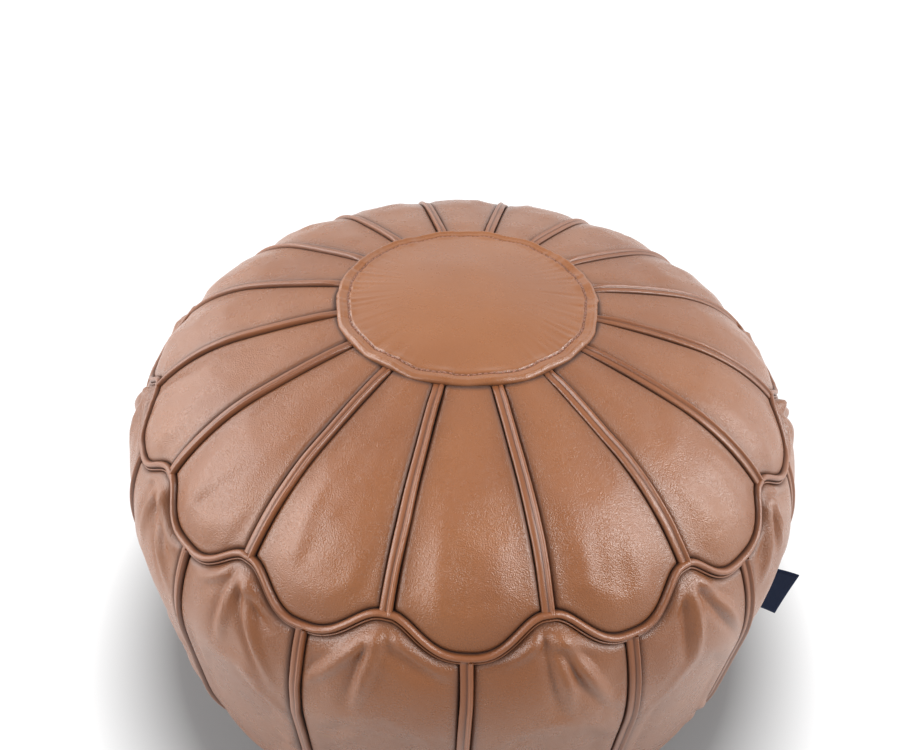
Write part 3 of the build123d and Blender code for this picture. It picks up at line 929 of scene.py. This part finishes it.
# ---- filling --------------------------------------------------------------------------------------
def build_filling():
    """The stuffed cotton liner inside the leather, lobed a little by the panels' seams."""
    around = 128
    theta = np.linspace(0, 2 * np.pi, around, endpoint=False)
    rings = []
    lengths = np.linspace(0.004, SKIN_LENGTH - 0.016, 60)
    for s in lengths:
        lobed = 0.0008 * np.cos(PETALS * theta) * smooth(s / 0.1)
        rings.append(place(theta, s, -0.0075 + lobed))
    floor_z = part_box("liner_bag")[0].z
    for r in (0.170, 0.120, 0.060, 0.010):
        rings.append(np.stack([r * np.cos(theta), r * np.sin(theta), np.full(around, floor_z)], axis=-1))
    points = np.concatenate(rings)
    faces = grid_faces(len(rings), around, closed_columns=True)
    faces.append(tuple(reversed(range(around))))
    last = (len(rings) - 1) * around
    faces.append(tuple(last + j for j in range(around)))
    liner = piece("stuffed_liner", points, faces, LINER)
    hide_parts("liner_bag", "crumb_filling")


build_filling()


# ---- base and zip: CAD pieces that keep their shape -----------------------------------------------
FINISHES = {
    "base_panel_front": BASE, "base_panel_back": BASE, "zip_facing_front": BASE, "zip_facing_back": BASE,
    "zip_end_facings": BASE, "zip_tape_front": TAPE, "zip_tape_back": TAPE, "zip_coil_front": NYLON,
    "zip_coil_back": NYLON, "zip_top_stops": METAL, "zip_bottom_stop": METAL, "zip_slider": METAL,
    "zip_pull": METAL,
}
for node, material in FINISHES.items():
    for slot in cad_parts[node].material_slots:
        slot.material = material


# ---- stage, light and camera ----------------------------------------------------------------------
def build_stage():
    """A white floor that glows as painted light everywhere but close round the pouf, so that the pouf's real
    shadow shows only there as a dark ring; the glow dims towards the front.
    """
    mesh = bpy.data.meshes.new("floor")
    mesh.from_pydata([(-6, -6, 0), (6, -6, 0), (6, 6, 0), (-6, 6, 0)], [], [(0, 1, 2, 3)])
    floor = bpy.data.objects.new("floor", mesh)
    scene.collection.objects.link(floor)
    paint, nodes, links, shader = new_material("floor")
    shader.inputs["Base Color"].default_value = (0.30, 0.305, 0.31, 1)
    shader.inputs["Roughness"].default_value = 0.9
    shader.inputs["Specular IOR Level"].default_value = 0.0
    where = nodes.new("ShaderNodeTexCoord")
    middle = nodes.new("ShaderNodeVectorMath")
    middle.operation = "LENGTH"
    links.new(where.outputs["Object"], middle.inputs[0])
    reach = nodes.new("ShaderNodeMath")
    reach.operation = "DIVIDE"
    reach.inputs[1].default_value = 1.5
    links.new(middle.outputs["Value"], reach.inputs[0])
    # Painted shadow: the glow is nil close round the pouf and rises to full further out.
    far = nodes.new("ShaderNodeValToRGB")
    far.color_ramp.elements[0].position = 0.175
    far.color_ramp.elements[0].color = (0, 0, 0, 1)
    far.color_ramp.elements[1].position = 0.85
    far.color_ramp.elements[1].color = (0.95, 0.95, 0.95, 1)
    near = far.color_ramp.elements.new(0.228)
    near.color = (0.78, 0.78, 0.78, 1)
    links.new(reach.outputs["Value"], far.inputs["Fac"])
    links.new(far.outputs["Color"], shader.inputs["Emission Color"])
    split = nodes.new("ShaderNodeSeparateXYZ")
    links.new(where.outputs["Object"], split.inputs[0])
    # Painted shade: the glow dims towards the front.
    front = nodes.new("ShaderNodeMapRange")
    front.inputs["From Min"].default_value = -0.60
    front.inputs["From Max"].default_value = -0.26
    front.inputs["To Min"].default_value = 0.12
    links.new(split.outputs["Y"], front.inputs["Value"])
    links.new(front.outputs["Result"], shader.inputs["Emission Strength"])
    mesh.materials.append(paint)


def build_world():
    """A white room with a dim ceiling, brightest to the sides and dark behind the camera."""
    world = bpy.data.worlds.new("room")
    world.use_nodes = True
    nodes, links = world.node_tree.nodes, world.node_tree.links
    where = nodes.new("ShaderNodeTexCoord")
    split = nodes.new("ShaderNodeSeparateXYZ")
    links.new(where.outputs["Generated"], split.inputs[0])
    ramp = nodes.new("ShaderNodeValToRGB")
    ramp.color_ramp.elements[0].position = 0.0
    ramp.color_ramp.elements[0].color = (0.95, 0.95, 0.96, 1)
    ramp.color_ramp.elements[1].position = 0.80
    ramp.color_ramp.elements[1].color = (0.38, 0.38, 0.38, 1)
    wall_top = ramp.color_ramp.elements.new(0.60)
    wall_top.color = (0.88, 0.88, 0.88, 1)
    links.new(split.outputs["Z"], ramp.inputs["Fac"])
    links.new(ramp.outputs["Color"], nodes["Background"].inputs["Color"])
    front = nodes.new("ShaderNodeMapRange")
    front.inputs["From Min"].default_value = -0.70
    front.inputs["From Max"].default_value = 0.0
    front.inputs["To Min"].default_value = 0.30
    front.inputs["To Max"].default_value = 0.93
    links.new(split.outputs["Y"], front.inputs["Value"])
    side = nodes.new("ShaderNodeMath")
    side.operation = "POWER"
    side.inputs[1].default_value = 4.0
    links.new(split.outputs["X"], side.inputs[0])
    bright = nodes.new("ShaderNodeMath")
    bright.operation = "ADD"
    links.new(front.outputs["Result"], bright.inputs[0])
    links.new(side.outputs["Value"], bright.inputs[1])
    links.new(bright.outputs["Value"], nodes["Background"].inputs["Strength"])
    scene.world = world


def softbox(name, spot, aim, size, power):
    light = bpy.data.lights.new(name, "AREA")
    light.shape = "RECTANGLE"
    light.size, light.size_y = size
    light.energy = power
    obj = bpy.data.objects.new(name, light)
    obj.location = spot
    obj.rotation_euler = (Vector(aim) - Vector(spot)).to_track_quat("-Z", "Y").to_euler()
    scene.collection.objects.link(obj)


def build_camera():
    """Above and in front of the pouf, close in with a wide lens."""
    azimuth = math.radians(-0.5)
    elevation = math.radians(41.05)
    distance = 0.552
    roll = math.radians(1.44)
    turn = Matrix.Rotation(azimuth, 3, "Z")
    aim = turn @ Vector((-0.0104, 0, 0.2634))
    back = turn @ Vector((0, -math.cos(elevation), math.sin(elevation)))
    data = bpy.data.cameras.new("camera")
    data.lens = 29.2
    data.sensor_width = 36
    data.clip_start = 0.02
    camera = bpy.data.objects.new("camera", data)
    camera.location = aim + back * distance
    facing = back.to_track_quat("Z", "Y").to_matrix() @ Matrix.Rotation(roll, 3, "Z")
    camera.rotation_euler = facing.to_euler()
    scene.collection.objects.link(camera)
    scene.camera = camera


build_stage()
build_world()
softbox("left_softbox", (-1.55, -0.64, 1.20), (0, 0, 0.25), (1.50, 1.10), 18)
softbox("back_left_softbox", (-1.55, 0.70, 1.35), (0, 0, 0.25), (1.20, 1.20), 12)
softbox("right_softbox", (1.36, -0.46, 1.46), (0, 0, 0.25), (0.95, 0.95), 20)
build_camera()
scene.view_settings.view_transform = "Standard"
